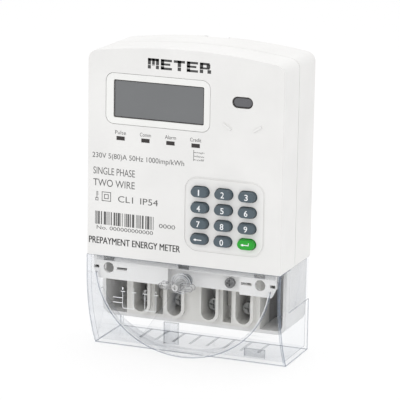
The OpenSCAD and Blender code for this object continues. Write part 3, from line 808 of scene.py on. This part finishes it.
def front_print():
    dress(join(title_letters("METER", -22.9, 15.7, 112.9, 118.9), "title_print"),
          "meter", "print_dark", title_grey)
    light_x = (LIGHTS_LOW.x + 2.5 * MM) / MM
    words = [
        face_word("230V 5(80)A 50Hz 1000imp/kWh", -57, 0.2, 57.2, 61.2),
        face_word("SINGLE PHASE", -56.3, -30.2, 48.4, 52.6),
        face_word("TWO WIRE", -56.3, -30.2, 41.4, 45.6),
        face_word("CL1", -40.6, -31.2, 32.9, 36.6),
        face_word("IP54", -26.7, -15.6, 32.9, 36.6),
        face_word("0000", -14.8, -4.8, 20.3, 22.7),
        face_word("No. 000000000000", -54, -18.5, 15.6, 17.8),
        face_word("PREPAYMENT ENERGY METER", -58.9, -1.7, 7.0, 11.0),
        face_word("PREPAYMENT ENERGY METER", -58.7, -1.5, 7.0, 11.0),
    ]
    for i, label in enumerate(("Pulse", "Comm", "Alarm", "Credit")):
        x = light_x + i * LIGHT_STEP
        words.append(face_word(label, x - 3.4, x + 3.4, 73.0, 75.2))
    x = light_x + 3 * LIGHT_STEP
    words.append(face_bar(x - 1.2, x - 0.9, 61.9, 68.2))
    for i in range(3):
        z = 66.7 - 2.1 * i
        words.append(face_bar(x - 1.2, x + 0.6, z - 0.15, z + 0.15))
        words.append(face_word(("high", "low", "off")[i], x + 0.9, x + 5.4, z - 0.5, z + 0.6))
    words += square_outline(-50.9, -45.1, 32.6, 38.2, 0.4)
    words += square_outline(-49.4, -46.6, 34.0, 36.8, 0.4)
    words += square_outline(-54.9, -53.1, 32.6, 34.4, 0.35) + [face_bar(-54.2, -53.8, 34.4, 38.2)]
    words += [face_bar(-54.2, -53.0, 36.2, 36.6), face_bar(-54.2, -53.0, 37.4, 37.8)]
    at, step = -55.0, 0
    while at < -18.2:
        wide = (0.35, 0.7, 0.35, 1.05, 0.35, 0.7, 1.4)[step * 5 % 7]
        gap = (0.4, 0.75, 0.4, 0.4, 1.1)[step * 3 % 5]
        words.append(face_bar(at, at + wide, 18.6, 26.4))
        at += wide + gap
        step += 1
    dress(join(words, "face_print"), "meter", "print_dark", print_grey)


def arrow(x, z, front, hook):
    """A plain arrow to the left, with a hook at its tail for the enter key."""
    strokes = [bar(x - 1.2 * MM, x + 2.2 * MM, z - 0.25 * MM, z + 0.25 * MM, front)]
    if hook:
        strokes.append(bar(x + 1.8 * MM, x + 2.2 * MM, z, z + 1.4 * MM, front))
    head = bar(-0.7 * MM, 0.7 * MM, -0.7 * MM, 0.7 * MM, front)
    deselect()
    head.rotation_euler = (0, math.pi / 4, 0)
    settle(head, "head")
    head.scale = (1.2, 1, 0.7)
    head.location = (x - 1.6 * MM, -SINK, z)
    settle(head, "head")
    return strokes + [head]


def key_legends():
    for name in KEY_NAMES:
        low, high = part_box("key_" + name)
        x, z = (low.x + high.x) / 2, (low.z + high.z) / 2
        if name in ("back", "enter"):
            marks = arrow(x, z, low.y, name == "enter")
        else:
            wide = 0.38 if name == "1" else 1.05
            marks = [fitted_word(name, x - wide * MM, x + wide * MM,
                                 z - 1.75 * MM, z + 1.75 * MM, low.y, 0.006)]
        dress(join(marks, "legend_" + name), "key_" + name, "print_white", legend_white)


def cover_print():
    """The white wiring diagram on the inside of the cover."""
    front = FACE_Y + 1.75 * MM
    z = FACE_Z - 26 * MM
    strokes = []

    def stroke(x0, x1, z0, z1):
        strokes.append(bar(x0 * MM, x1 * MM, z + z0 * MM, z + z1 * MM, front))

    for i in range(4):
        x = -38 + 7 * i
        stroke(x, x + 0.3, -5, 5)
        stroke(x - 1.2, x + 1.6, 5, 5.4)
        strokes.append(fitted_word(str(i + 1), (x - 0.3) * MM, (x + 0.5) * MM,
                                   z + 6.2 * MM, z + 7.7 * MM, front))
    stroke(-38, -31, -5, -4.6)
    stroke(-24, -17, -5, -4.6)
    stroke(-38, -44, 1, 1.4)
    stroke(-38, -44, -2, -1.6)
    dress(join(strokes, "cover_print"), "cover", "print_white", legend_white)


front_print()
key_legends()
cover_print()


# ---- Stage, light and camera ----

def stage_floor():
    """A plain pale floor that stays bright where the meter stands."""
    material, shader = new_material("floor_white", (0.96, 0.96, 0.96), 0.8)
    tree = material.node_tree
    bright = tree.nodes.new("ShaderNodeEmission")
    path = tree.nodes.new("ShaderNodeLightPath")
    amount = tree.nodes.new("ShaderNodeMapRange")
    amount.inputs["To Max"].default_value = 0.8
    mix = tree.nodes.new("ShaderNodeMixShader")
    tree.links.new(path.outputs["Is Camera Ray"], amount.inputs["Value"])
    tree.links.new(amount.outputs["Result"], mix.inputs["Fac"])
    tree.links.new(shader.outputs["BSDF"], mix.inputs[1])
    tree.links.new(bright.outputs["Emission"], mix.inputs[2])
    tree.links.new(mix.outputs["Shader"], tree.nodes["Material Output"].inputs["Surface"])
    deselect()
    bpy.ops.mesh.primitive_plane_add(size=8, location=(0, 0, cad_low.z - 0.5 * MM))
    floor = settle(bpy.context.object, "floor")
    floor.data.materials.append(material)


def soft_lamp(name, place, size, power):
    """A square area lamp that faces the middle of the meter."""
    data = bpy.data.lights.new(name, "AREA")
    data.size = size
    data.energy = power
    lamp = bpy.data.objects.new(name, data)
    lamp.location = place
    aim = Vector((0, -0.03, 0.04)) - Vector(place)
    lamp.rotation_euler = aim.to_track_quat("-Z", "Y").to_euler()
    bpy.context.scene.collection.objects.link(lamp)


def studio():
    stage_floor()
    soft_lamp("key_lamp", (-0.7, -1.1, 0.9), 0.6, 2.2)
    soft_lamp("top_lamp", (0.1, 0.1, 1.2), 0.6, 2.4)
    world = bpy.data.worlds.new("studio")
    world.use_nodes = True
    background = world.node_tree.nodes["Background"]
    background.inputs["Color"].default_value = (1, 1, 1, 1)
    background.inputs["Strength"].default_value = 1.0
    bpy.context.scene.world = world
    bpy.context.scene.view_settings.view_transform = "Standard"


def camera():
    data = bpy.data.cameras.new("camera")
    data.sensor_width = 36
    data.lens = 219.1
    data.clip_start = 0.1
    data.clip_end = 20
    view = bpy.data.objects.new("camera", data)
    across = Vector((0.92905, 0.36959, 0.01639)).normalized()
    back = Vector((0.35597, -0.90512, 0.23246)).normalized()
    up = back.cross(across).normalized()
    across = up.cross(back)
    turn = Matrix((across, up, back)).transposed().to_4x4()
    view.matrix_world = Matrix.Translation((0.50464, -1.30845, 0.36972)) @ turn
    bpy.context.scene.collection.objects.link(view)
    bpy.context.scene.camera = view


studio()
camera()
